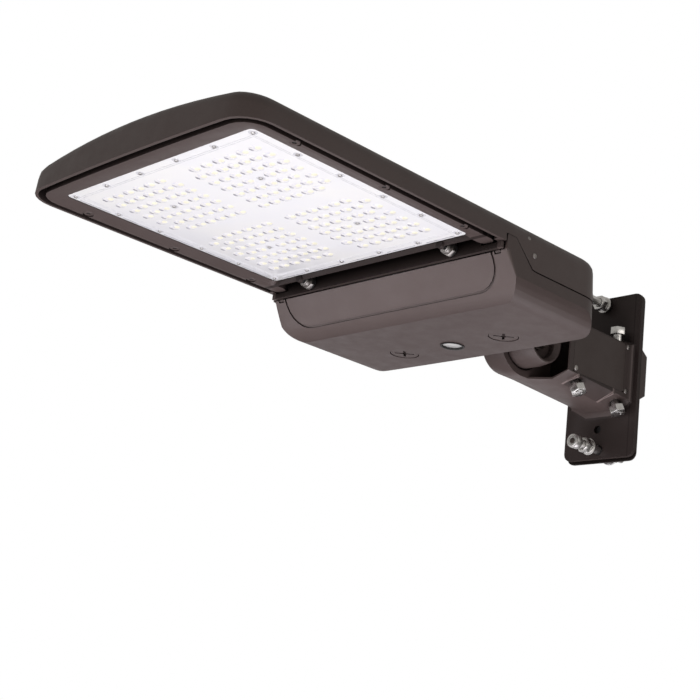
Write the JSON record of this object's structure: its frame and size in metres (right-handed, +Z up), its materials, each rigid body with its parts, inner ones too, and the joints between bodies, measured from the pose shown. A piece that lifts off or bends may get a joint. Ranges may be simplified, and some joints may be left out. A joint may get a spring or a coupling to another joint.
{
  "type": "shoebox area light with pole arm",
  "caption": "Flat outdoor LED area light with a hinged driver door, a tilting knuckle and an arm bracket that bolts to a pole.",
  "frame": {"origin": "centre of the pad of the pole saddle, on the face that rests on the pole", "axes": "+Z up, +Y into the pole, so the lit end of the head points along -Y; +X across the head, on the side of the arm's cover"},
  "size_m": [0.332, 0.7394, 0.2012],
  "materials": {
    "bronze_coat": "satin",
    "bronze_coat_light": "satin",
    "zinc_steel": "satin",
    "black_rubber": "matte",
    "clear_lens": "gloss",
    "white_board": "matte",
    "driver_case": "satin",
    "dark_case": "matte",
    "ivory_nylon": "matte",
    "gland_metal": "satin",
    "black_plastic": "matte",
    "sensor_glass": "gloss"
  },
  "bodies": {
    "arm": {"arm_casting": "bronze_coat", "arm_cover": "bronze_coat", "arm_cover_seal": "black_rubber", "pole_saddle": "bronze_coat", "plate_seal": "black_rubber", "pole_bolt_upper": "zinc_steel", "pole_nut_upper": "zinc_steel", "spring_washer_upper": "zinc_steel", "flat_washer_upper": "zinc_steel", "rear_washer_upper": "zinc_steel", "rear_nut_upper": "zinc_steel", "pole_bolt_lower": "zinc_steel", "pole_nut_lower": "zinc_steel", "spring_washer_lower": "zinc_steel", "flat_washer_lower": "zinc_steel", "rear_washer_lower": "zinc_steel", "rear_nut_lower": "zinc_steel", "tilt_bolt": "zinc_steel", "tilt_head_washer": "zinc_steel", "tilt_nut_washer": "zinc_steel", "tilt_nut": "zinc_steel"},
    "head": {"housing": "bronze_coat", "head_knuckle": "bronze_coat", "knuckle_seal": "black_rubber", "knuckle_bolt_left": "zinc_steel", "knuckle_bolt_right": "zinc_steel", "light_engine_frame": "bronze_coat_light", "lens_seal": "black_rubber", "lens_plate": "clear_lens", "led_board_front_left": "white_board", "led_board_front_right": "white_board", "led_board_rear_left": "white_board", "led_board_rear_right": "white_board", "cable_gland_left": "gland_metal", "cable_gland_right": "gland_metal", "gland_cap_left": "gland_metal", "gland_cap_right": "gland_metal", "gland_seal_left": "black_rubber", "gland_seal_right": "black_rubber", "engine_lead_left": "black_rubber", "engine_lead_right": "black_rubber", "led_driver": "driver_case", "surge_protector": "dark_case", "terminal_block": "ivory_nylon", "hinge_pin_left": "zinc_steel", "hinge_pin_right": "zinc_steel"},
    "door": {"driver_door": "bronze_coat_light", "door_seal": "black_rubber", "sensor_bezel": "black_plastic", "sensor_window": "sensor_glass", "sensor_nut": "black_plastic"},
    "latch_left": {"door_latch_left": "bronze_coat_light"},
    "latch_right": {"door_latch_right": "bronze_coat_light"},
    "front_set_screw": {"set_screw_front": "zinc_steel"},
    "rear_set_screw": {"set_screw_rear": "zinc_steel"},
    "top_set_screw": {"set_screw_top": "zinc_steel"}
  },
  "joints": [
    {"name": "head_tilt", "type": "hinge", "parent": "arm", "child": "head", "pos_m": [0, -0.1563, 0.003], "axis": [1, 0, 0], "range_deg": [-90, 90]},
    {"name": "door_swing", "type": "hinge", "parent": "head", "child": "door", "pos_m": [0, -0.3857, 0.005], "axis": [-1, 0, 0], "range_deg": [0, 60]},
    {"name": "latch_turn_left", "type": "hinge", "parent": "door", "child": "latch_left", "pos_m": [-0.0698, -0.2762, -0.036], "axis": [0, 0, 1], "range_deg": [0, 90]},
    {"name": "latch_turn_right", "type": "hinge", "parent": "door", "child": "latch_right", "pos_m": [0.0698, -0.2762, -0.036], "axis": [0, 0, 1], "range_deg": [-90, 0]},
    {"name": "set_screw_front_travel", "type": "slide", "parent": "arm", "child": "front_set_screw", "axis": [0.4067, 0, -0.9135], "range_m": [0, 0.004]},
    {"name": "set_screw_rear_travel", "type": "slide", "parent": "arm", "child": "rear_set_screw", "axis": [0.4067, 0, -0.9135], "range_m": [0, 0.004]},
    {"name": "set_screw_top_travel", "type": "slide", "parent": "arm", "child": "top_set_screw", "axis": [0, 0, 1], "range_m": [0, 0.004]}
  ]
}
